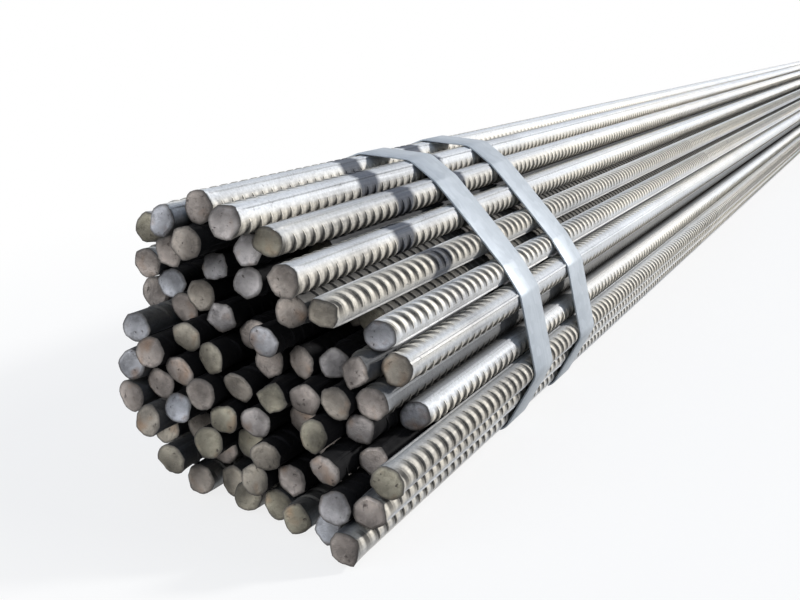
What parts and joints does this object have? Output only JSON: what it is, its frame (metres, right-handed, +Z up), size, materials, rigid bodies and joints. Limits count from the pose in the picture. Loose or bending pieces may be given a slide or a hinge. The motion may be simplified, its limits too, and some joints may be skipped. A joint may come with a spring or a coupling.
{
  "type": "rebar bundle",
  "caption": "Bundle of straight ribbed steel reinforcing bars with staggered sheared ends, drawn together by flat steel straps near both ends.",
  "frame": {"origin": "middle of the bundle's base, on the floor", "axes": "+X along the bars, away from the end that the picture shows; +Z up"},
  "size_m": [3.068, 0.138, 0.1264],
  "materials": {
    "bar_steel": "hot-rolled, dull silver-grey with brown scale on the sheared ends",
    "strap_steel": "bright galvanised"
  },
  "bodies": {
    "root": {"bars_tier_01": "bar_steel", "bars_tier_02": "bar_steel", "bars_tier_03": "bar_steel", "bars_tier_04": "bar_steel", "bars_tier_05": "bar_steel", "bars_tier_06": "bar_steel", "bars_tier_07": "bar_steel", "bars_tier_08": "bar_steel", "bars_tier_09": "bar_steel", "bars_tier_10": "bar_steel", "strap_near_1": "strap_steel", "strap_near_2": "strap_steel", "strap_far_1": "strap_steel", "strap_far_2": "strap_steel"}
  },
  "joints": []
}
